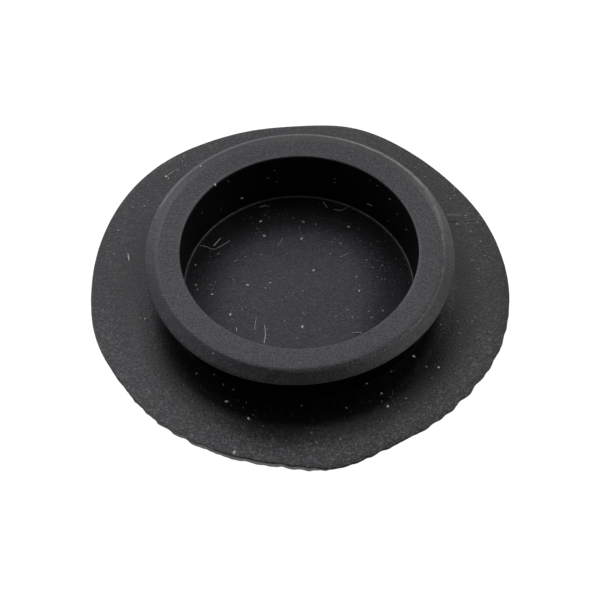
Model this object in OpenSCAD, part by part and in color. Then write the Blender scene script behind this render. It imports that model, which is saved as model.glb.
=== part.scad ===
// Rubber blanking plug: a thin, slightly dished flange, a short neck and a
// bevelled push-in lip around a blind round recess. One moulded piece.
// Origin: middle of the flat outer face. +Z runs along the plug's axis, out of
// the recess's mouth. The plug rests on its outer face. Millimetres.

/* [Flange] */
// Mean diameter of the flange at its trimmed edge
flange_d = 30; // [28:0.5:34]
// Thickness of the flange at its edge
flange_t = 0.75; // [0.6:0.05:1.2]
// How far the edge stands up from the flat middle of the outer face
flange_rise = 0.7; // [0.2:0.05:1]
// Diameter of the flat middle of the outer face
face_d = 19; // [12:0.5:20]
// Unevenness of the hand-trimmed edge: 0 is a true circle, 1 is as trimmed
trim_unevenness = 1; // [0:0.25:1.5]
// Blunt corners that the trimming left round the edge
trim_corners = 5; // [3:1:8]
// Angle of the first of those corners, from +X
trim_angle = -6; // [-36:1:36]
// How far a corner stands out from the mean edge
trim_depth = 0.12; // [0:0.02:0.3]

/* [Neck] */
// Diameter of the neck, which the edge of the panel's hole sits on
neck_d = 19.4; // [18.6:0.1:20.4]
// Fillet where the neck meets the flange
root_fillet = 0.1; // [0.1:0.05:0.45]

/* [Lip] */
// Largest diameter of the lip
lip_d = 21.9; // [21.5:0.1:23]
// Height from the outer face to the mouth
height = 5.45; // [5.3:0.05:6.5]
// Width of the lead-in bevel round the mouth, measured along the radius
bevel_w = 1.05; // [0.8:0.05:1.2]
// Slope of the lead-in bevel below the level of the mouth, in degrees
bevel_slope = 28; // [22:1:40]
// Rounding between the mouth's flat rim and the bevel
shoulder_round = 0.5; // [0.2:0.05:0.8]
// Slope of the lip's undercut side, away from the axis, in degrees
undercut = 35; // [30:1:50]

/* [Recess] */
// Diameter of the blind recess
bore_d = 16.7; // [15:0.1:17.2]
// Thickness of the web that closes the recess
web_t = 0.8; // [0.6:0.05:1]
// Rounding of the recess's mouth
mouth_round = 0.1; // [0.05:0.01:0.25]
// Fillet round the recess's floor
floor_fillet = 0.12; // [0.05:0.01:0.25]

/* [Hidden] */

flange_r = flange_d / 2;
face_r = face_d / 2;
neck_r = neck_d / 2;
lip_r = lip_d / 2;
bore_r = bore_d / 2;
// top of the flange where it meets the neck
root_z = web_t + 0.35;
// top of the flange at its edge
edge_z = flange_rise + flange_t;
// radius to which the flange is drawn before it is trimmed
blank_r = flange_r + 1;
rise_slope = flange_rise / (flange_r - face_r);
top_slope = (edge_z - root_z) / (flange_r - neck_r);
// where the bevel would meet the lip's full diameter
rim_z = height - shoulder_round * (1 - cos(bevel_slope))
    - (bevel_w - shoulder_round * sin(bevel_slope)) * tan(bevel_slope);
// rounding of that edge
rim_round = 0.1;
rim_cz = rim_z - rim_round * tan(bevel_slope / 2);
// where the lip's undercut side meets the neck: the panel sits between this
// and the flange
under_z = max(root_z + 1, rim_cz - rim_round * sin(undercut)
    - (lip_r - rim_round * (1 - cos(undercut)) - neck_r) / tan(undercut));

// A proud nub of flash left at the edge: [angle, height, half width in degrees]
NUB = [-80, 0.16, 6];
TRIM_STEPS = 144;

// Shortest way round from angle b to angle a
function turn(a, b) = let (d = (a - b) % 360) d > 180 ? d - 360 : d < -180 ? d + 360 : d;

// The trimmed edge: a ring of blunt corners, made uneven by a weaker ring with
// one corner fewer, and the nub
function trim_r(a) = flange_r + trim_unevenness * (
    trim_depth * cos(trim_corners * (a - trim_angle))
    + 0.6 * trim_depth * cos((trim_corners - 1) * (a - trim_angle + 8))
    + NUB[1] * exp(-pow(turn(a, NUB[0]) / NUB[2], 2)));

// Points of an arc about [cx, cz], from angle a0 to angle a1, both ends included
function arc(cx, cz, r, a0, a1, n = 6) =
    [for (i = [0:n]) let (a = a0 + (a1 - a0) * i / n) [cx + r * cos(a), cz + r * sin(a)]];

// Half section of the moulding, from the axis out along the outer face, up the
// flange, neck and lip, over the mouth and down into the recess
module half_section() {
    polygon(concat(
        [[0, 0], [face_r, 0]],
        // underside and top of the dished flange
        [[blank_r, rise_slope * (blank_r - face_r)],
         [blank_r, root_z + top_slope * (blank_r - neck_r)],
         [neck_r + root_fillet, root_z + top_slope * root_fillet]],
        // root fillet and neck
        arc(neck_r + root_fillet, root_z + root_fillet, root_fillet, 255, 180),
        // undercut side of the lip, its outer edge and its lead-in bevel
        [[neck_r, under_z]],
        arc(lip_r - rim_round, rim_cz, rim_round, -undercut, 90 - bevel_slope, 6),
        arc(lip_r - bevel_w, height - shoulder_round, shoulder_round, 90 - bevel_slope, 90, 5),
        // mouth, recess wall, floor
        arc(bore_r + mouth_round, height - mouth_round, mouth_round, 90, 180),
        arc(bore_r - floor_fillet, web_t + floor_fillet, floor_fillet, 0, -90),
        [[0, web_t]]
    ));
}

// Outline of the flange as trimmed
module trim_outline() {
    polygon([for (i = [0:TRIM_STEPS - 1]) let (a = 360 * i / TRIM_STEPS)
        [trim_r(a) * cos(a), trim_r(a) * sin(a)]]);
}

module plug() {
    color([0.09, 0.09, 0.10])
    intersection() {
        rotate_extrude($fn = 180) half_section();
        translate([0, 0, -1]) linear_extrude(height = height + 2) trim_outline();
    }
}

plug();
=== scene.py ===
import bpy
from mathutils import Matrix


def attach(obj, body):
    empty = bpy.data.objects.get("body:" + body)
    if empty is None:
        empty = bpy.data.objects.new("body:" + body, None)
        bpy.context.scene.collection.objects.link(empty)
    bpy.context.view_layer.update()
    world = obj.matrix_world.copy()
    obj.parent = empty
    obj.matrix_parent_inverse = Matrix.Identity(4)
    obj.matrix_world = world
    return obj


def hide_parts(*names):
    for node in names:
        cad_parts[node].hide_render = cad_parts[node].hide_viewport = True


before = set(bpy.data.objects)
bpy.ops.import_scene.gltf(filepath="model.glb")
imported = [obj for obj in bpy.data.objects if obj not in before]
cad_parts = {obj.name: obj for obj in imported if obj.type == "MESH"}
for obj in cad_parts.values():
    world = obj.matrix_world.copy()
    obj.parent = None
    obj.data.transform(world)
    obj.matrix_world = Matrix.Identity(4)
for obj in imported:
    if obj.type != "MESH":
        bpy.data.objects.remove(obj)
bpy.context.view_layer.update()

import math
import random

import bpy
import numpy as np
from mathutils import Matrix, Vector

MM = 0.001

# ---------------------------------------------------------------- camera
# Distances in mm. The camera looks at the flange from a little over 55 degrees,
# square to +X, as in the photograph.
ELEV, DIST, PX_PER_MM = math.radians(55.207), 108.0, 13.867
ROLL, TX, TY, TARGET_Z = math.radians(-1.0), -0.388, 1.627, 1.45


def make_camera():
    cam = bpy.data.cameras.new("camera")
    ob = bpy.data.objects.new("camera", cam)
    bpy.context.scene.collection.objects.link(ob)
    right0, up0 = Vector((1, 0, 0)), Vector((0, math.sin(ELEV), math.cos(ELEV)))
    fwd = Vector((0, math.cos(ELEV), -math.sin(ELEV)))
    right = math.cos(ROLL) * right0 - math.sin(ROLL) * up0
    up = math.sin(ROLL) * right0 + math.cos(ROLL) * up0
    place = Vector((0, 0, TARGET_Z)) - TX * right0 - TY * up0 - DIST * fwd
    ob.matrix_world = Matrix.Translation(place * MM) @ Matrix(
        ((right.x, up.x, -fwd.x), (right.y, up.y, -fwd.y), (right.z, up.z, -fwd.z))
    ).to_4x4()
    cam.sensor_fit = "HORIZONTAL"
    cam.sensor_width = 36.0
    cam.lens = PX_PER_MM * DIST * 36.0 / 608.0
    cam.clip_start, cam.clip_end = 0.005, 20.0
    cam.dof.use_dof = False
    bpy.context.scene.camera = ob
    return ob


make_camera()

# ---------------------------------------------------------------- the plug's form
# Sizes in mm, as in the CAD: flange, neck, lip and recess.
FLANGE_R, FLANGE_T, RISE, FACE_R = 15.0, 0.75, 0.7, 9.5
NECK_R, ROOT_Z, ROOT_FILLET = 9.7, 1.15, 0.05
LIP_R, HEIGHT, BEVEL_W, BEVEL = 10.93, 5.45, 1.05, math.radians(28)
SHOULDER, RIM_ROUND, UNDERCUT = 0.5, 0.06, math.radians(35)
BORE_R, WEB = 8.35, 0.8
EDGE_Z = RISE + FLANGE_T
TOP_SLOPE = (EDGE_Z - ROOT_Z) / (FLANGE_R - NECK_R)
RIM_Z = (HEIGHT - SHOULDER * (1 - math.cos(BEVEL))
         - (BEVEL_W - SHOULDER * math.sin(BEVEL)) * math.tan(BEVEL))
RIM_CZ = RIM_Z - RIM_ROUND * math.tan(BEVEL / 2)
UNDER_Z = RIM_CZ - RIM_ROUND * math.sin(UNDERCUT) - (
    LIP_R - RIM_ROUND * (1 - math.cos(UNDERCUT)) - NECK_R) / math.tan(UNDERCUT)
# Waves of the trimmed edge and of the lip's rim: (waves a turn, depth, angle of a crest)
TRIM_WAVES = [(2, .033, -24), (3, .03, -11), (4, .079, -15), (5, .126, -6), (6, .034, 20),
              (7, .051, 25), (8, .031, 18), (9, .033, -3), (10, .02, -7), (11, .012, 12),
              (12, .021, 14), (13, .013, 4), (14, .018, -1)]
RIM_WAVES = [(2, .097, 54), (3, .041, -9), (4, .026, -28)]
NUB = (-80, 0.16, 6)


def turn(a, b):
    return (a - b + 180.0) % 360.0 - 180.0


def trim_r(a):
    r = np.full_like(a, FLANGE_R)
    for n, d, p in TRIM_WAVES:
        r = r + d * np.cos(np.radians(n * (a - p)))
    return r + NUB[1] * np.exp(-(turn(a, NUB[0]) / NUB[2]) ** 2)


def rim_wave(a, k=1.0):
    return k * sum(d * np.cos(np.radians(n * (a - p))) for n, d, p in RIM_WAVES)


def ring_noise(a, waves, seed, lo, hi):
    """Smooth noise round a circle: a sum of seeded waves between lo and hi waves a turn, about 1 high."""
    rng = random.Random(seed)
    out = np.zeros_like(a)
    for _ in range(waves):
        n = rng.randint(lo, hi)
        out = out + rng.uniform(0.5, 1.0) * np.cos(np.radians(n * a + rng.uniform(0, 360)))
    return out / math.sqrt(waves / 2)


def bump_at(a, centre, half):
    return np.exp(-(turn(a, centre) / half) ** 2)


def window(a, centre, half, soft):
    """1 within half degrees of centre, falling to 0 over soft degrees."""
    d = np.abs(turn(a, centre))
    return np.clip((half + soft - d) / soft, 0, 1) ** 2 * (3 - 2 * np.clip((half + soft - d) / soft, 0, 1))


def edge_lines(a):
    """The cut edge at each angle: radius at its top and bottom corners, radius of the
    top corner's rounding, and how far the flange droops just inside it."""
    rough = 0.06 + 0.94 * window(a, -76, 46, 30)
    top = trim_r(a)
    top = top + rough * (0.042 * ring_noise(a, 26, 11, 36, 90) + 0.007 * ring_noise(a, 30, 12, 100, 200))
    lean = -0.03 - 0.09 * window(a, -120, 30, 20) - 0.34 * window(a, -38, 38, 12) - 0.08 * window(a, 70, 60, 30)
    top = top + 0.04 * window(a, -90, 40, 30) + 0.03 * window(a, 90, 50, 40)
    bottom = top + lean + rough * (0.030 * ring_noise(a, 24, 13, 30, 80) + 0.010 * ring_noise(a, 30, 14, 90, 200))
    corner = 0.05 + 0.08 * window(a, -82, 24, 14)
    droop = 0.015 + 0.05 * window(a, -40, 42, 14)
    return top, bottom, corner, droop


def grid_angles(n):
    return np.arange(n) * 360.0 / n


rings = []   # (angles count, r array, z array)


def add(n, r, z):
    a = grid_angles(n)
    r = np.broadcast_to(np.asarray(r(a) if callable(r) else r, float), a.shape)
    z = np.broadcast_to(np.asarray(z(a) if callable(z) else z, float), a.shape)
    rings.append((n, r, z))


def oval(a, amount, crest=48.0):
    return amount * np.cos(np.radians(2 * (a - crest)))


def build_rings():
    # underside, from the middle out
    for r in (1.2, 2.6, 4.0, 5.4, 6.8, 8.0, 9.0):
        add(180, r, 0.0)
    add(360, 9.5, 0.0)
    for u in (0.12, 0.3, 0.5):
        add(360, lambda a, u=u: 9.5 + u * (edge_lines(a)[1] - 9.5), lambda a, u=u: RISE * u)
    for u in (0.68, 0.84, 0.94):
        add(1440 if u > 0.7 else 720, lambda a, u=u: 9.5 + u * (edge_lines(a)[1] - 9.5), lambda a, u=u: RISE * u)
    # cut edge: bottom corner, side, top corner
    rb = 0.08

    def shelf(a):
        """Radius and height where the flange's top runs into the rounded corner."""
        top, _, corner, droop = edge_lines(a)
        return top - corner, ROOT_Z + TOP_SLOPE * (top - corner - NECK_R) - droop

    for k in range(0, 5):
        t = math.radians(-90 + 22.5 * k)
        add(1440, lambda a, t=t: edge_lines(a)[1] - rb + rb * math.cos(t),
            lambda a, t=t: RISE + rb * 0.9 + rb * math.sin(t))
    for v in (0.33, 0.66):
        add(1440, lambda a, v=v: edge_lines(a)[1] * (1 - v) + edge_lines(a)[0] * v
            + 0.008 * ring_noise(a, 30, 20 + int(v * 10), 60, 300),
            lambda a, v=v: RISE + rb + v * (shelf(a)[1] - edge_lines(a)[2] - RISE - rb))
    for k in range(0, 7):
        t = math.radians(15 * k)
        add(1440, lambda a, t=t: shelf(a)[0] + edge_lines(a)[2] * math.cos(t),
            lambda a, t=t: shelf(a)[1] - edge_lines(a)[2] * (1 - math.sin(t)))

    # top of the flange, in to the neck
    def top_ring(n, back):
        """A ring of the flange's top, back mm in from the corner."""
        add(n, lambda a: shelf(a)[0] - back,
            lambda a: ROOT_Z + TOP_SLOPE * (shelf(a)[0] - back - NECK_R)
            - edge_lines(a)[3] * max(0.0, 1 - back / 0.6) ** 2)
    for back in (0.1, 0.22, 0.36, 0.55):
        top_ring(1440, back)
    for back in (0.8, 1.15, 1.5, 1.9):
        top_ring(720, back)
    for u in (0.8, 0.6, 0.4, 0.2, 0.05):
        add(360, lambda a, u=u: 9.8 + u * (shelf(a)[0] - 1.9 - 9.8),
            lambda a, u=u: ROOT_Z + TOP_SLOPE * (9.8 + u * (shelf(a)[0] - 1.9 - 9.8) - NECK_R))
    # fillet, neck, underside of the lip
    f = ROOT_FILLET
    for k in range(5):
        t = math.radians(258 - 19.5 * k)
        add(360, NECK_R + f + f * math.cos(t), ROOT_Z + f + f * math.sin(t))
    for v in (0.35, 0.7):
        add(360, NECK_R, ROOT_Z + f + (UNDER_Z - ROOT_Z - f) * v)
    # undercut side of the lip, the rim, the bevel, the shoulder
    ru = LIP_R - RIM_ROUND * (1 - math.cos(UNDERCUT))
    zu = RIM_CZ - RIM_ROUND * math.sin(UNDERCUT)
    for v in (0.03, 0.3, 0.6, 0.85):
        add(360 if v < 0.5 else 720, lambda a, v=v: NECK_R + (ru - NECK_R) * v + rim_wave(a, v),
            UNDER_Z + (zu - UNDER_Z) * v)
    for k in range(10):
        t = -UNDERCUT + (math.pi / 2 - BEVEL + UNDERCUT) * k / 9
        add(720, lambda a, t=t: LIP_R + rim_wave(a) - RIM_ROUND + RIM_ROUND * math.cos(t),
            RIM_CZ + RIM_ROUND * math.sin(t))
    r0 = LIP_R - RIM_ROUND + RIM_ROUND * math.cos(math.pi / 2 - BEVEL)
    z0 = RIM_CZ + RIM_ROUND * math.sin(math.pi / 2 - BEVEL)
    r1 = LIP_R - BEVEL_W + SHOULDER * math.sin(BEVEL)
    z1 = HEIGHT - SHOULDER + SHOULDER * math.cos(BEVEL)
    for v in (0.25, 0.5, 0.75):
        add(720, lambda a, v=v: r0 + (r1 - r0) * v + rim_wave(a), z0 + (z1 - z0) * v)
    for k in range(7):
        t = math.radians(62 + 28 * k / 6)
        add(720, lambda a, t=t: LIP_R - BEVEL_W + SHOULDER * math.cos(t) + rim_wave(a),
            HEIGHT - SHOULDER + SHOULDER * math.sin(t))
    # flat rim to the mouth
    m = 0.10
    ra, rm = LIP_R - BEVEL_W, BORE_R + m
    for v in (0.2, 0.4, 0.6, 0.8, 0.93):
        add(720, lambda a, v=v: ra + (rm - ra) * v + rim_wave(a, 1 - v) + oval(a, 0.074 * v), HEIGHT)
    for k in range(7):
        t = math.radians(90 + 15 * k)
        add(720, lambda a, t=t: BORE_R + m + m * math.cos(t) + oval(a, 0.074), HEIGHT - m + m * math.sin(t))
    # recess wall
    fl = 0.12
    for v in (0.04, 0.12, 0.25, 0.4, 0.55, 0.7, 0.85, 0.95):
        z = HEIGHT - m + (WEB + fl - HEIGHT + m) * v
        add(720 if v < 0.3 else 360, lambda a, v=v: BORE_R + oval(a, 0.074 * (1 - v)), z)
    for k in range(7):
        t = math.radians(0 - 15 * k)
        add(360, BORE_R - fl + fl * math.cos(t), WEB + fl + fl * math.sin(t))
    for r in (8.1, 7.8, 7.4):
        add(360, r, WEB)
    for r in (6.8, 6.0, 5.1, 4.1, 3.1, 2.1, 1.1):
        add(180, r, WEB)


def mesh_from_rings(name):
    verts, starts = [], []
    verts.append((0.0, 0.0, 0.0))
    count = 1
    for n, r, z in rings:
        a = np.radians(grid_angles(n))
        starts.append(count)
        verts.extend(zip(r * np.cos(a), r * np.sin(a), z))
        count += n
    verts.append((0.0, 0.0, WEB))
    faces = []
    n0, s0 = rings[0][0], starts[0]
    for i in range(n0):
        faces.append((0, s0 + (i + 1) % n0, s0 + i))
    for k in range(len(rings) - 1):
        na, nb, sa, sb = rings[k][0], rings[k + 1][0], starts[k], starts[k + 1]
        if na == nb:
            for i in range(na):
                j = (i + 1) % na
                faces.append((sa + i, sa + j, sb + j, sb + i))
        elif nb > na:
            m = nb // na
            h = m // 2
            for i in range(na):
                j = (i + 1) % na
                b = [sb + (i * m + q) % nb for q in range(m + 1)]
                for q in range(h):
                    faces.append((sa + i, b[q + 1], b[q]))
                faces.append((sa + i, sa + j, b[h]))
                for q in range(h, m):
                    faces.append((sa + j, b[q + 1], b[q]))
        else:
            m = na // nb
            h = m // 2
            for i in range(nb):
                j = (i + 1) % nb
                b = [sa + (i * m + q) % na for q in range(m + 1)]
                for q in range(h):
                    faces.append((b[q], b[q + 1], sb + i))
                faces.append((b[h], sb + j, sb + i))
                for q in range(h, m):
                    faces.append((b[q], b[q + 1], sb + j))
    last, nl, sl = len(verts) - 1, rings[-1][0], starts[-1]
    for i in range(nl):
        faces.append((sl + i, sl + (i + 1) % nl, last))
    me = bpy.data.meshes.new(name)
    me.from_pydata([(x * MM, y * MM, z * MM) for x, y, z in verts], [], faces)
    me.update()
    me.polygons.foreach_set("use_smooth", [True] * len(me.polygons))
    ob = bpy.data.objects.new(name, me)
    bpy.context.scene.collection.objects.link(ob)
    return ob


build_rings()
plug = mesh_from_rings("plug_rubber")

# ---------------------------------------------------------------- materials


def new_material(name):
    mat = bpy.data.materials.new(name)
    mat.use_nodes = True
    nt = mat.node_tree
    for n in list(nt.nodes):
        nt.nodes.remove(n)
    out = nt.nodes.new("ShaderNodeOutputMaterial")
    bsdf = nt.nodes.new("ShaderNodeBsdfPrincipled")
    nt.links.new(bsdf.outputs["BSDF"], out.inputs["Surface"])
    return mat, nt, bsdf


class Net:
    """Small helper for building node trees."""

    def __init__(self, nt):
        self.nt = nt

    def put(self, sock, v):
        if hasattr(v, "links"):
            self.nt.links.new(v, sock)
        else:
            sock.default_value = v

    def math(self, op, a, b=None, c=None, clamp=False):
        n = self.nt.nodes.new("ShaderNodeMath")
        n.operation = op
        n.use_clamp = clamp
        for i, v in enumerate((a, b, c)):
            if v is not None:
                self.put(n.inputs[i], v)
        return n.outputs["Value"]

    def ramp(self, v, lo, hi, out_lo=0.0, out_hi=1.0, smooth=True):
        n = self.nt.nodes.new("ShaderNodeMapRange")
        n.interpolation_type = "SMOOTHSTEP" if smooth else "LINEAR"
        self.put(n.inputs["Value"], v)
        n.inputs["From Min"].default_value, n.inputs["From Max"].default_value = lo, hi
        n.inputs["To Min"].default_value, n.inputs["To Max"].default_value = out_lo, out_hi
        return n.outputs["Result"]

    def noise(self, vec, scale, detail=2.0, rough=0.5):
        n = self.nt.nodes.new("ShaderNodeTexNoise")
        n.inputs["Scale"].default_value = scale
        n.inputs["Detail"].default_value = detail
        n.inputs["Roughness"].default_value = rough
        self.put(n.inputs["Vector"], vec)
        return n.outputs["Fac"]

    def combine(self, x, y, z):
        n = self.nt.nodes.new("ShaderNodeCombineXYZ")
        for k, v in zip("XYZ", (x, y, z)):
            self.put(n.inputs[k], v)
        return n.outputs["Vector"]

    def band(self, v, lo, hi, soft):
        """1 between lo and hi, falling to 0 over soft on each side."""
        return self.math("MULTIPLY", self.ramp(v, lo - soft, lo), self.ramp(v, hi, hi + soft, 1.0, 0.0))

    def mul(self, *vs):
        out = vs[0]
        for v in vs[1:]:
            out = self.math("MULTIPLY", out, v)
        return out

    def add(self, *vs):
        out = vs[0]
        for v in vs[1:]:
            out = self.math("ADD", out, v)
        return out

    def mix(self, fac, a, b):
        n = self.nt.nodes.new("ShaderNodeMix")
        n.data_type = "RGBA"
        ins = [i for i in n.inputs if i.type == "RGBA"]
        self.put(n.inputs[0], fac)
        self.put(ins[0], a)
        self.put(ins[1], b)
        return [o for o in n.outputs if o.type == "RGBA"][0]


def rubber_material():
    mat, nt, bsdf = new_material("moulded_rubber")
    net = Net(nt)
    tc = nt.nodes.new("ShaderNodeTexCoord")
    mp = nt.nodes.new("ShaderNodeMapping")
    mp.inputs["Scale"].default_value = (1000, 1000, 1000)   # to mm
    nt.links.new(tc.outputs["Object"], mp.inputs["Vector"])
    P = mp.outputs["Vector"]
    sep = nt.nodes.new("ShaderNodeSeparateXYZ")
    nt.links.new(P, sep.inputs["Vector"])
    x, y, z = sep.outputs
    r = net.math("SQRT", net.add(net.mul(x, x), net.mul(y, y)))
    ux, uy = net.math("DIVIDE", x, r), net.math("DIVIDE", y, r)

    def around(deg, half, soft):
        """1 near one direction round the axis, by the cosine of the angle from it."""
        c = net.add(net.mul(ux, math.cos(math.radians(deg))), net.mul(uy, math.sin(math.radians(deg))))
        return net.ramp(c, math.cos(math.radians(min(half + soft, 180))), math.cos(math.radians(half)))

    grain = net.noise(P, 7.0, 1.0, 0.5)
    micro = net.noise(P, 12.0, 1.0, 0.5)
    broad = net.noise(P, 0.42, 3.0, 0.55)
    patch = net.noise(P, 1.5, 3.0, 0.6)

    # rings left by the turned mould, and fine strokes along the flange
    ring_xyz = net.combine(net.mul(ux, 5.0), net.mul(uy, 5.0), net.mul(r, 5.5))
    rings_f = net.noise(ring_xyz, 1.0, 3.0, 0.7)
    flange = net.mul(net.ramp(r, 11.0, 11.6), net.ramp(z, 2.4, 2.6, 1.0, 0.0))
    annulus = net.mul(net.ramp(z, 5.25, 5.4), net.band(r, 8.4, 10.15, 0.1))
    streaks = net.mul(flange, net.add(0.25, net.mul(0.75, around(-48, 22, 30))))

    # dust that has settled on faces that look up; the amount also carries painted shade beside the lip and at the
    # recess floor's edge, and painted light on the flange's front beyond the lip's shade
    nrm = nt.nodes.new("ShaderNodeSeparateXYZ")
    nt.links.new(tc.outputs["Normal"], nrm.inputs["Vector"])
    up = net.ramp(nrm.outputs["Z"], 0.35, 0.95)
    specks = net.ramp(net.noise(P, 11.0, 1.0, 0.5), 0.70, 0.80)
    fines = net.ramp(micro, 0.56, 0.74)
    blotch = net.add(net.ramp(net.noise(P, 3.6, 2.0, 0.65), 0.52, 0.68),
                     net.ramp(net.noise(P, 8.8, 0.0, 0.5), 0.66, 0.76))
    # painted highlight: a bright thin band on the lip's shoulder, broken up by noise
    highlight_r = net.math("SUBTRACT", net.add(r, net.mul(0.34, net.math("SUBTRACT", patch, 0.5)),
                                      net.mul(0.12, net.math("SUBTRACT", grain, 0.5))),
                      net.ramp(uy, 0.12, 0.70, 0.0, 0.66, smooth=False))
    wide = net.ramp(uy, -0.1, 0.6, 0.02, 0.11)
    off = net.math("ABSOLUTE", net.math("SUBTRACT", highlight_r, 10.17))
    shoulder_highlight = net.mul(net.ramp(net.math("SUBTRACT", off, wide), 0.0, 0.13, 1.0, 0.0), net.ramp(z, 4.8, 4.9),
                    net.ramp(r, 9.9, 10.05), around(18, 48, 22), net.ramp(grain, 0.3, 0.6, 0.45, 1.0),
                    net.ramp(patch, 0.34, 0.6, 0.45, 1.1),
                    net.ramp(uy, -0.4, 0.5, 0.45, 1.0))
    # painted highlight along the mouth's edge, everywhere but the front
    mouth_highlight = net.mul(net.band(r, 8.40, 8.50, 0.06), net.ramp(z, 5.35, 5.42), around(75, 100, 15))
    film = net.ramp(net.add(net.mul(0.75, grain), net.mul(0.25, micro)), 0.36, 0.64)
    front = around(-90, 55, 35)
    lip_shade_and_light = net.math("MULTIPLY_ADD", flange, net.add(net.ramp(r, 11.4, 13.6, -0.9, 0.1),
                                                   net.mul(1.3, front, net.ramp(r, 12.6, 14.2)),
                                                   net.mul(-0.35, around(0, 45, 25))), 1.0)   # painted shade beside the lip and on the right, painted light on the front beyond it
    dust_and_painted_light = net.mul(up, lip_shade_and_light, net.add(0.002, net.mul(0.025, film, net.ramp(patch, 0.3, 0.7, 0.35, 1.15)),
                                    net.mul(0.026, fines), net.mul(0.10, specks), net.mul(0.034, blotch, flange)),
                   # painted shade: 70% less dust on the outer ring of the recess floor, darkening it next to the wall
                   net.math("MULTIPLY_ADD", net.mul(net.ramp(z, 1.0, 1.1, 1.0, 0.0), net.ramp(r, 4.6, 7.6),
                                                    net.ramp(r, 8.6, 9.0, 1.0, 0.0)), -0.7, 1.0))
    # painted highlight: a thin bright line round the edge of the recess floor, brighter at the sides
    floor_edge_highlight = net.mul(net.band(r, 8.31, 8.36, 0.015), net.ramp(z, 0.88, 0.94, 1.0, 0.0),
                         net.ramp(patch, 0.35, 0.6, 0.45, 1.0), net.ramp(net.math("ABSOLUTE", ux), 0.25, 0.95, 0.75, 1.5))
    # painted highlight along the lip's rim at the back
    rim_highlight = net.mul(net.band(z, RIM_Z - 0.06, RIM_Z + 0.14, 0.05), net.ramp(r, 10.4, 10.6),
                       around(95, 58, 14), net.ramp(grain, 0.3, 0.5, 0.5, 1.0))
    # the flat rim's tone: random grain, with painted light making it lighter everywhere but the back and lighter still
    # at the front
    annulus_grain_and_light = net.add(0.0, net.mul(0.015, around(-90, 125, 30)), net.mul(0.012, front),
                        net.mul(0.050, net.math("SUBTRACT", grain, 0.5)),
                        net.mul(0.040, net.math("SUBTRACT", micro, 0.5)))
    bevel_zone = net.mul(net.band(r, 10.1, 10.95, 0.05), net.ramp(z, 4.9, 5.0))
    # painted highlight: a lighter band on the right side of the bevel
    bevel_highlight = net.mul(bevel_zone, around(-16, 34, 26), 0.017)
    past = net.add(r, -10.15, net.mul(1.85, uy))   # how far out from the painted shade under the lip
    body = net.mul(net.ramp(z, 1.0, 1.1), net.ramp(z, 4.3, 4.5, 1.0, 0.0), net.ramp(r, 9.2, 9.5))
    # painted shade: the neck and the flange next to it, under the lip
    under_lip_shade = net.mul(body, net.ramp(past, -1.0, 0.15, 1.0, 0.0))
    # painted light: a lighter band on the flange just beyond the painted shade, at the front left and front right
    lit_band_beyond_shade = net.mul(body, net.ramp(past, -0.3, 0.6), net.ramp(past, 1.4, 2.6, 1.0, 0.0),
                     net.add(around(-140, 8, 34), net.mul(0.55, around(-64, 12, 18))),
                     net.ramp(film, 0.1, 0.9, 0.6, 1.35))
    floor_zone = net.mul(net.ramp(z, 0.6, 0.75), net.ramp(z, 0.84, 0.92, 1.0, 0.0), net.ramp(r, 8.2, 8.4, 1.0, 0.0))
    wall = net.mul(net.ramp(r, 8.44, 8.5, 1.0, 0.0), net.ramp(z, 0.92, 1.0), net.ramp(z, 5.15, 5.35, 1.0, 0.0))
    warm = net.add(net.mul(flange, net.add(0.35, net.mul(0.65, around(0, 55, 30)))),
                   net.mul(net.band(r, 10.1, 10.95, 0.05), net.ramp(z, 4.6, 4.8), around(0, 70, 30)))
    # painted light: the flange's cut face is made lighter and warmer, as light thrown up from the floor
    cut = net.mul(net.ramp(r, 13.6, 13.9), net.ramp(nrm.outputs["Z"], 0.35, 0.75, 1.0, 0.0),
                  net.ramp(z, RISE - 0.02, RISE + 0.04), net.ramp(patch, 0.3, 0.7, 0.6, 1.2))
    # painted shade: the steep outer faces are lighter on the back half only, leaving the front half dark
    side = net.mul(net.ramp(nrm.outputs["Z"], 0.1, 0.5, 1.0, 0.0), net.ramp(r, 9.2, 9.5), net.ramp(uy, -0.4, 0.1),
                   net.ramp(patch, 0.3, 0.7, 0.5, 1.1), net.ramp(grain, 0.35, 0.65, 0.7, 1.2))
    seams = net.mul(flange, net.add(
        net.mul(net.band(y, 6.36, 6.52, 0.08), net.band(x, 11.05, 12.0, 0.2)),
        net.mul(net.band(y, 6.57, 6.63, 0.06), net.band(x, 12.25, 12.75, 0.15)),
        net.mul(net.band(y, 6.00, 6.06, 0.06), net.band(x, 12.6, 13.35, 0.15)),
        net.mul(net.band(y, 5.64, 5.72, 0.07), net.band(x, 12.15, 13.25, 0.15))), net.ramp(grain, 0.35, 0.6, 0.3, 1.2))
    value = net.add(0.002, net.mul(0.004, grain), net.mul(0.05, seams), dust_and_painted_light, net.mul(0.016, side), net.mul(annulus_grain_and_light, annulus), bevel_highlight,
                    net.mul(0.085, shoulder_highlight), net.mul(0.03, mouth_highlight), net.mul(0.15, floor_edge_highlight), net.mul(0.050, lit_band_beyond_shade),
                    # painted light: the bevel is lighter at the front
                    net.mul(0.095, rim_highlight), net.mul(0.009, front, bevel_zone), net.mul(0.055, cut))
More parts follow.
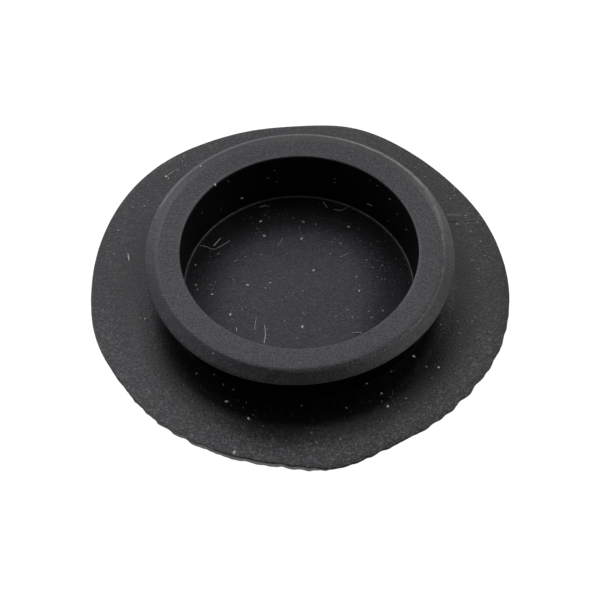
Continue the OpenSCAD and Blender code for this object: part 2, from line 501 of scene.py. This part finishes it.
    # painted shade: the colour is darkened under the lip
    value = net.math("MAXIMUM", net.mul(value, net.math("MULTIPLY_ADD", under_lip_shade, -0.6, 1.0)), 0.0015)
    colour = net.combine(net.mul(value, net.math("MULTIPLY_ADD", cut, 0.22, 1.02)),
                         net.mul(value, net.math("MULTIPLY_ADD", warm, 0.02, 0.97)),
                         net.mul(value, net.add(1.05, net.mul(-0.20, cut), net.mul(-0.08, warm))))
    nt.links.new(colour, bsdf.inputs["Base Color"])
    rough = net.add(net.ramp(broad, 0.3, 0.7, 0.33, 0.37), net.mul(0.05, net.math("SUBTRACT", patch, 0.5)),
                    net.mul(-0.27, net.math("SUBTRACT", grain, 0.5)), net.mul(-0.07, flange, net.math("SUBTRACT", grain, 0.5)), net.mul(0.06, lit_band_beyond_shade),
                    net.mul(0.05, flange, around(0, 45, 25), net.ramp(r, 11.2, 13.8, 1.0, 0.3)),
                    net.mul(0.08, net.ramp(z, 1.0, 1.1, 1.0, 0.0), net.band(r, 6.6, 8.4, 2.4), net.ramp(net.math("ABSOLUTE", ux), 0.5, 0.9)))
    nt.links.new(rough, bsdf.inputs["Roughness"])

    height = net.add(net.mul(0.62, grain), net.mul(0.20, micro), net.mul(0.8, streaks, rings_f),
                     net.mul(0.4, patch))
    bump = nt.nodes.new("ShaderNodeBump")
    bump.inputs["Strength"].default_value = 1.0
    bump.inputs["Distance"].default_value = 0.000028
    nt.links.new(height, bump.inputs["Height"])
    nt.links.new(bump.outputs["Normal"], bsdf.inputs["Normal"])
    bsdf.inputs["IOR"].default_value = 1.5
    tint = net.combine(1.0, net.add(0.96, net.mul(0.012, warm), net.mul(-0.006, floor_zone)),
                       net.add(1.04, net.mul(-0.035, warm), net.mul(0.06, floor_zone)))
    nt.links.new(tint, bsdf.inputs["Specular Tint"])
    # painted shade: the gloss is turned down under the lip, on the recess wall, on the sides of the recess floor, at
    # the back of the flat rim and on the right of the flange
    gloss_shade = net.mul(0.5, net.math("MULTIPLY_ADD", under_lip_shade, -0.8, 1.0), net.math("MULTIPLY_ADD", wall, -0.75, 1.0),
                   net.math("MULTIPLY_ADD", net.mul(floor_zone, net.add(
                       0.07, net.mul(0.5, net.ramp(x, 3.4, 6.6)), net.ramp(x, -7.0, -5.0, 0.25, 0.0))), -1.0, 1.0),
                   net.math("MULTIPLY_ADD", net.mul(annulus, around(90, 50, 30)), -0.10, 1.0),
                   net.math("MULTIPLY_ADD", net.mul(flange, around(0, 50, 25)), -0.09, 1.0))
    nt.links.new(gloss_shade, bsdf.inputs["Specular IOR Level"])
    return mat


def speck_material(name, dark, light, rough=0.8):
    """Dust, lint and grit: a mottled pale solid."""
    mat, nt, bsdf = new_material(name)
    net = Net(nt)
    tc = nt.nodes.new("ShaderNodeTexCoord")
    n = net.noise(tc.outputs["Object"], 14000.0, 3.0, 0.6)
    nt.links.new(net.mix(net.ramp(n, 0.35, 0.65), (*dark, 1), (*light, 1)), bsdf.inputs["Base Color"])
    b = nt.nodes.new("ShaderNodeBump")
    b.inputs["Strength"].default_value = 0.6
    b.inputs["Distance"].default_value = 0.00001
    nt.links.new(n, b.inputs["Height"])
    nt.links.new(b.outputs["Normal"], bsdf.inputs["Normal"])
    bsdf.inputs["Roughness"].default_value = rough
    bsdf.inputs["Specular IOR Level"].default_value = 0.2
    return mat


rubber = rubber_material()
plug.data.materials.append(rubber)
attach(plug, "root")
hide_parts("plug")

# ---------------------------------------------------------------- dust and lint
from mathutils.bvhtree import BVHTree

tree = BVHTree.FromPolygons([v.co.copy() for v in plug.data.vertices],
                            [tuple(f.vertices) for f in plug.data.polygons])
CAM = bpy.context.scene.camera.matrix_world.copy()
FOCAL = PX_PER_MM * DIST


def on_surface(px, py):
    """Where the line of sight through pixel (px, py) meets the plug: point and normal, in m."""
    d = CAM.to_3x3() @ Vector(((px - 303.5) / FOCAL, (303.5 - py) / FOCAL, -1)).normalized()
    hit, nor, _, _ = tree.ray_cast(CAM.translation, d)
    return (hit, nor) if hit is not None else (None, None)


def frame_at(nor, spin=0.0):
    q = nor.to_track_quat("Z", "X").to_matrix()
    c, s = math.cos(spin), math.sin(spin)
    return q @ Matrix(((c, -s, 0), (s, c, 0), (0, 0, 1)))


class Bits:
    """One mesh that gathers many small pieces."""

    def __init__(self):
        self.verts, self.faces = [], []

    def grit(self, p, nor, size, rng, flat=0.35, stretch=1.0):
        """A small angular grain, bedded a little in the surface. size is its width in mm."""
        base = len(self.verts)
        m = frame_at(nor, rng.uniform(0, math.tau))
        rows, cols = 4, 7
        h = size * 0.5 * MM
        for i in range(1, rows):
            t = math.pi * i / rows
            for j in range(cols):
                a = math.tau * (j + 0.5 * (i % 2)) / cols
                k = rng.uniform(0.7, 1.2)
                v = Vector((math.sin(t) * math.cos(a) * k * stretch, math.sin(t) * math.sin(a) * k / stretch ** 0.5,
                            math.cos(t) * flat * k))
                self.verts.append(p + m @ (v * h) + nor * h * flat * 0.55)
        top, bot = len(self.verts), len(self.verts) + 1
        self.verts.append(p + m @ Vector((0, 0, flat * h)) + nor * h * flat * 0.55)
        self.verts.append(p + m @ Vector((0, 0, -flat * h)) + nor * h * flat * 0.55)
        for j in range(cols):
            k = (j + 1) % cols
            self.faces.append((base + j, base + k, top))
            for i in range(rows - 2):
                o = base + i * cols
                self.faces.append((o + j, o + cols + j, o + cols + k, o + k))
            o = base + (rows - 2) * cols
            self.faces.append((o + k, o + j, bot))

    def thread(self, pts, radius, rng, sides=6, taper=True):
        """A lint fibre through pts (m), radius in mm."""
        n = len(pts)
        base = len(self.verts)
        for i, p in enumerate(pts):
            a, b = pts[max(i - 1, 0)], pts[min(i + 1, n - 1)]
            t = (b - a).normalized()
            u = t.orthogonal().normalized()
            w = t.cross(u)
            k = radius * MM * rng.uniform(0.8, 1.2)
            if taper and (i == 0 or i == n - 1):
                k *= 0.35
            for j in range(sides):
                c = math.tau * j / sides
                self.verts.append(p + (u * math.cos(c) + w * math.sin(c)) * k)
        for i in range(n - 1):
            for j in range(sides):
                k = (j + 1) % sides
                o = base + i * sides
                self.faces.append((o + j, o + k, o + sides + k, o + sides + j))
        self.faces.append(tuple(base + j for j in reversed(range(sides))))
        self.faces.append(tuple(base + (n - 1) * sides + j for j in range(sides)))

    def build(self, name, mat):
        me = bpy.data.meshes.new(name)
        me.from_pydata(self.verts, [], self.faces)
        me.update()
        me.materials.append(mat)
        ob = bpy.data.objects.new(name, me)
        bpy.context.scene.collection.objects.link(ob)
        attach(ob, "root")
        return ob


def smooth_path(knots, steps):
    """Points on a Catmull-Rom curve through knots."""
    out = []
    n = len(knots)
    for i in range(n - 1):
        p0, p1, p2, p3 = knots[max(i - 1, 0)], knots[i], knots[i + 1], knots[min(i + 2, n - 1)]
        for k in range(steps):
            t = k / steps
            out.append(tuple(0.5 * (2 * b + (c - a) * t + (2 * a - 5 * b + 4 * c - d) * t * t
                                    + (3 * b - a - 3 * c + d) * t ** 3) for a, b, c, d in zip(p0, p1, p2, p3)))
    out.append(tuple(knots[-1]))
    return out


# Grains of dust that stand out: where they are seen, and how wide they are (mm)
BRIGHT = [
    (301, 238.3, .125), (313, 270.3, .105), (348.3, 226.5, .12), (301.8, 327, .12), (263.7, 235.5, .12),
    (260, 221, .095), (211.4, 294, .11), (241, 197.5, .125), (234, 452, .15), (413, 356, .11),
    (387, 406, .13), (438, 367, .11), (165.5, 176.3, .12),
    (214.4, 184.4, .11), 
    (144.5, 318.5, .08), (226, 401, .11), (381, 393, .09), (118, 230, .08), (200, 166, .09),
    (248, 418, .10), (366, 382.6, .10), (247, 284.8, .11),
    (358.8, 290.6, .11), (229.8, 314.3, .11), (269.8, 282.6, .085), (356, 276.5, .085),
]
GREY = [
    (132, 207, .10), (144, 206, .10), (140, 318, .12), (471, 260, .085), (450, 198.4, .09), (457, 223.8, .11), (476.8, 221.7, .10), (465.6, 215.4, .11),
    (257, 228, .10), (218, 253.5, .10), (245, 256.7, .10), (260.5, 254, .10), (382, 265, .10),
    (366, 259.5, .10), (329.8, 253.3, .10), (331.6, 241.8, .10), (340, 243, .09), (244.8, 307, .11),
    (241, 309, .08), (283.8, 321, .11), (297, 338, .10), (382.5, 310.5, .11), (368, 311, .09),
    (334, 182, .09), (334.3, 178, .08), (267.6, 177.5, .09), (276, 181, .09), (274, 170, .07),
    (370, 180, .08), (377, 185, .08), (389.5, 198.5, .10), (397, 213.5, .09), (388, 220.5, .09),
    (406, 229, .09), (201.5, 212, .09), (220.6, 209, .08), (223, 384, .11), (233, 389, .10),
    (214, 374, .10), (196, 373, .11), (301, 405, .09), (346, 407.5, .10), (391, 371, .09),
    (440, 324, .10), (117, 336, .10), (102, 310, .09), (190, 427, .11), (208, 427, .11), (192, 401, .09),
    (426, 366, .10), (455, 373, .09), (459, 333, .10), (478, 337, .10), (457, 321, .10), (475, 317, .10),
    (398, 411, .10), (340, 438, .11), (316, 442, .09), (406, 398, .10), (456, 403, .09), (311, 432, .09),
    (456, 224, .09), (478, 281, .09), (473, 260, .09), (183.8, 155.2, .10), (182, 161, .09), (185, 165, .09),
    (215.6, 143.8, .10), (454, 195, .10), (470, 231, .10), (264.6, 214.6, .08), (293, 217.7, .08),
    (315.4, 223.8, .08), (302.5, 290.6, .08), (347, 309, .10), (335.5, 316, .09), (352, 317, .09),
    (302.8, 312.8, .08), (300.3, 318, .08), (223, 307, .09), (231.4, 319, .09), (209.8, 284.5, .10),
    (212, 289, .08), (372, 266.6, .09), (227.7, 181, .08), (250.8, 217, .07), (212.5, 353, .08),
]
TAN = [(302.8, 221.4, .13), (195, 264.6, .11), (195.4, 284.6, .12), (197, 289, .08), (265, 287.8, .08),
       (168, 178, .08), (371, 317, .08)]
# Patches where faint grains gather: middle, half width and half height as seen, how many
DRIFTS = [(378, 268, 18, 14, 46), (345, 312, 24, 12, 34), (232, 316, 16, 12, 22), (340, 245, 14, 8, 18),
          (212, 290, 8, 10, 14), (268, 228, 20, 14, 16), (473, 215, 16, 12, 26), (470, 262, 22, 26, 64),
          (478, 320, 14, 26, 30), (458, 198, 16, 10, 24), (206, 158, 28, 8, 26), (136, 212, 16, 18, 20),
          (120, 270, 18, 40, 34), (215, 415, 40, 18, 36), (400, 405, 34, 16, 34), (430, 180, 16, 12, 22),
          (300, 300, 70, 34, 60)]
# Lint fibres: the line each is seen to follow, and its thickness
FIBRES = [
    ([(199, 245), (206, 246.5), (213, 249), (222, 245), (230, 240)], .018),
    ([(213, 246), (216.5, 242), (220, 238)], .030),
    ([(264.2, 325), (264.9, 334), (263.6, 343.5)], .024),
    ([(351, 333.5), (356, 332), (362, 333)], .020),
    ([(235.6, 327), (236.2, 331.5)], .028),
    ([(127.4, 253), (128.8, 261)], .030),
    ([(338.5, 256.8), (343, 255.6), (347.7, 253)], .018),
    ([(256, 316), (254.8, 323), (254, 330)], .012),
    ([(333, 209), (341, 210), (347.7, 206.3)], .012),
    ([(259, 206.8), (264, 205.6), (269, 206)], .014),
    ([(277, 246), (280, 241.5), (282.4, 238)], .012),
    ([(366, 203.5), (369, 203.6), (372, 205.8)], .014),
    ([(167, 175.6), (172, 171.4), (179, 169)], .013),
    ([(233, 262), (237, 259.5)], .014),
]
TAN_FIBRES = [([(322.6, 201), (324.6, 204.4), (327, 207.6)], .026)]
# Flash left by the mould's joint across the flange: line, width and height
FLASH = [([(446, 220.1), (451, 220.3), (457, 220.2)], .26, .034),
         ([(462, 220.7), (468, 220.7), (475, 220.5)], .20, .024)]


def add_flash(mat):
    verts, faces = [], []
    for knots, width, high in FLASH:
        pts = [q for q in (on_surface(*k) for k in smooth_path(knots, 8))
               if q[0] is not None and q[0].z < 2 * MM]   # on the flange, not on the lip
        n = len(pts)
        for i, (p, nor) in enumerate(pts):
            t = (pts[min(i + 1, n - 1)][0] - pts[max(i - 1, 0)][0]).normalized()
            side = nor.cross(t).normalized()
            k = min(1.0, 4.0 * min(i, n - 1 - i) / (n - 1)) * (0.8 + 0.2 * math.sin(2.3 * i))
            for u, v in ((-0.5, -0.2), (-0.28, 0.55), (0.0, 1.0), (0.28, 0.55), (0.5, -0.2)):
                verts.append(p + side * (u * width * (0.5 + 0.5 * k)) * MM + nor * (v * high * k - 0.002) * MM)
        base = len(verts) - 5 * n
        for i in range(n - 1):
            for j in range(4):
                o = base + 5 * i + j
                faces.append((o, o + 1, o + 6, o + 5))
            faces.append((base + 5 * i + 4, base + 5 * i, base + 5 * i + 5, base + 5 * i + 9))
        faces.append(tuple(base + j for j in reversed(range(5))))
        faces.append(tuple(base + 5 * (n - 1) + j for j in range(5)))
    me = bpy.data.meshes.new("flash_marks")
    me.from_pydata(verts, [], faces)
    me.update()
    me.polygons.foreach_set("use_smooth", [len(f) == 4 for f in faces])
    me.materials.append(mat)
    ob = bpy.data.objects.new("flash_marks", me)
    bpy.context.scene.collection.objects.link(ob)
    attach(ob, "root")


def add_dust():
    rng = random.Random(41)
    pale, grey, tan = Bits(), Bits(), Bits()
    for bits, spots in ((pale, BRIGHT), (grey, GREY), (tan, TAN)):
        for px, py, size in spots:
            p, nor = on_surface(px, py)
            if p is not None:
                bits.grit(p, nor, 1.7 * size * rng.uniform(0.9, 1.1), rng, stretch=rng.uniform(1.0, 1.4),
                          flat=0.5 if bits is pale else 0.3)
    for bits, lines in ((pale, FIBRES), (tan, TAN_FIBRES)):
        for knots, radius in lines:
            pts = []
            for px, py in smooth_path(knots, 5):
                p, nor = on_surface(px, py)
                if p is not None:
                    pts.append(p + nor * (radius * 1.1 + 0.01) * MM)
            bits.thread(pts, 1.2 * radius, rng)
    for cx, cy, wx, wy, n in DRIFTS:
        for _ in range(n):
            p, nor = on_surface(rng.gauss(cx, wx * 0.6), rng.gauss(cy, wy * 0.6))
            if p is not None and nor.z > 0.5:
                kind = grey if rng.random() < 0.94 else pale
                kind.grit(p, nor, rng.uniform(0.035, 0.07), rng, stretch=rng.uniform(1.0, 1.8))
    # fine dust everywhere it can settle
    for kind, n, lo, hi in ((grey, 900, 0.035, 0.10), (pale, 130, 0.025, 0.065), (tan, 80, 0.03, 0.07)):
        left = n
        while left:
            a = rng.uniform(0, math.tau)
            rr = 14.85 * math.sqrt(rng.random())
            if 8.3 < rr < 11.0 and rng.random() < 0.72:
                continue
            hit, nor, _, _ = tree.ray_cast(Vector((rr * math.cos(a) * MM, rr * math.sin(a) * MM, 0.02)),
                                           Vector((0, 0, -1)))
            if hit is None or nor.z < 0.3:
                continue
            size = lo + (hi - lo) * rng.random() ** 2.2
            kind.grit(hit, nor, size, rng, stretch=rng.uniform(1.0, 1.6))
            left -= 1
    # a few grains hold to the recess wall and the outer face
    for _ in range(70):
        a = rng.uniform(0, math.tau)
        zz = rng.uniform(1.2, 5.2)
        hit, nor, _, _ = tree.ray_cast(Vector((0, 0, zz * MM)), Vector((math.cos(a), math.sin(a), 0)))
        grey.grit(hit, nor, rng.uniform(0.025, 0.05), rng)
    for _ in range(140):
        a = rng.uniform(0, math.tau)
        rr = rng.uniform(9.6, 14.7)
        hit, nor, _, _ = tree.ray_cast(Vector((rr * math.cos(a) * MM, rr * math.sin(a) * MM, -0.02)),
                                       Vector((0, 0, 1)))
        if hit is not None and hit.z > 0.0001:
            grey.grit(hit, nor, rng.uniform(0.03, 0.06), rng)
    pale.build("dust_pale", speck_material("pale_dust", (0.55, 0.54, 0.54), (0.88, 0.87, 0.86)))
    grey.build("dust_grey", speck_material("grey_dust", (0.15, 0.147, 0.15), (0.36, 0.35, 0.36)))
    tan.build("dust_tan", speck_material("tan_dust", (0.40, 0.25, 0.18), (0.68, 0.46, 0.36)))


add_dust()
add_flash(rubber)

# ---------------------------------------------------------------- floor and light
# Each light is a round softbox: elevation and azimuth in degrees, and brightness
# against the white floor.
SOFTBOXES = [("back", 45, 90, 1.25), ("back_left", 45, 135, 1.45), ("left", 45, 180, 0.46),
             ("right", 45, 0, 0.9), ("back_right", 45, 45, 0.55), ("top_back", 67, 90, 0.42),
             ("top_left", 67, 162, 0.95), ("top_right", 67, 18, 0.8)]
# Soft pools of light on the walls and floor of the tent: elevation, azimuth,
# brightness and how tight each is
POOLS = [(25, 54, 0.9, 24), (25, 90, 1.1, 24), (25, 126, 1.5, 24), (25, 162, 0.45, 24), (25, 18, 0.6, 24),
         (5, 54, 1.05, 24), (5, 90, 0.45, 24), (5, 126, 0.9, 24), (5, 162, 0.4, 24), (5, 18, 0.2, 24),
         (-16, 90, 0.25, 24), (-16, 130, 0.25, 24), (-16, 50, 0.3, 24), (-5, 215, 0.5, 16),
         (0, 315, 0.2, 16), (12, 270, 0.15, 12), (20, 235, 0.15, 12), (20, 305, 0.2, 12),
         (-38, 225, 0.65, 7), (-38, 270, 0.75, 7), (-38, 315, 0.6, 7), (-75, 270, 0.5, 8)]


def direction(el, az):
    el, az = math.radians(el), math.radians(az)
    return Vector((math.cos(el) * math.cos(az), math.cos(el) * math.sin(az), math.sin(el)))


def backdrop(name, verts, faces, mat):
    """A white sheet that the camera sees; the light comes from the lamps and the tent."""
    me = bpy.data.meshes.new(name)
    me.from_pydata(verts, [], faces)
    me.materials.append(mat)
    ob = bpy.data.objects.new(name, me)
    bpy.context.scene.collection.objects.link(ob)
    ob.visible_diffuse = ob.visible_glossy = ob.visible_transmission = False
    ob.visible_volume_scatter = ob.visible_shadow = False


def floor_and_light():
    sc = bpy.context.scene
    mat, nt, bsdf = new_material("pale_floor")
    bsdf.inputs["Base Color"].default_value = (0.15, 0.15, 0.15, 1)
    bsdf.inputs["Roughness"].default_value = 0.9
    bsdf.inputs["Specular IOR Level"].default_value = 0.0
    bsdf.inputs["Emission Color"].default_value = (1, 1, 1, 1)
    bsdf.inputs["Emission Strength"].default_value = 1.0
    s, n = 1.8, 64
    backdrop("floor", [(-s, -s, 0), (s, -s, 0), (s, s, 0), (-s, s, 0)], [(0, 1, 2, 3)], mat)
    ring = [(1.5 * math.cos(math.tau * i / n), 1.5 * math.sin(math.tau * i / n)) for i in range(n)]
    backdrop("wall", [(x, y, -0.01) for x, y in ring] + [(x, y, 1.2) for x, y in ring],
             [(i, (i + 1) % n, n + (i + 1) % n, n + i) for i in range(n)], mat)

    world = bpy.data.worlds.new("tent")
    sc.world = world
    world.use_nodes = True
    nt = world.node_tree
    net = Net(nt)
    tc = nt.nodes.new("ShaderNodeTexCoord")
    total = 0.004
    for el, az, w, tight in POOLS:
        dot = nt.nodes.new("ShaderNodeVectorMath")
        dot.operation = "DOT_PRODUCT"
        dot.inputs[1].default_value = direction(el, az)
        nt.links.new(tc.outputs["Generated"], dot.inputs[0])
        total = net.math("MULTIPLY_ADD", net.math("POWER", net.math("MAXIMUM", dot.outputs["Value"], 0.0),
                                                  float(tight)), w, total)
    nt.links.new(total, nt.nodes["Background"].inputs["Strength"])
    nt.nodes["Background"].inputs["Color"].default_value = (1, 1, 1, 1)

    away, radius = 0.6, 0.17
    for name, el, az, w in SOFTBOXES:
        li = bpy.data.lights.new(name, "AREA")
        li.shape = "DISK"
        li.size = 2 * radius
        li.energy = w * math.pi * math.pi * radius ** 2
        ob = bpy.data.objects.new(name, li)
        sc.collection.objects.link(ob)
        d = direction(el, az)
        ob.location = d * away
        ob.rotation_mode = "QUATERNION"
        ob.rotation_quaternion = (-d).to_track_quat("-Z", "Y")
    sc.view_settings.view_transform = "Standard"
    sc.view_settings.look = "None"
    sc.view_settings.exposure = 0.0
    sc.view_settings.gamma = 1.0


floor_and_light()
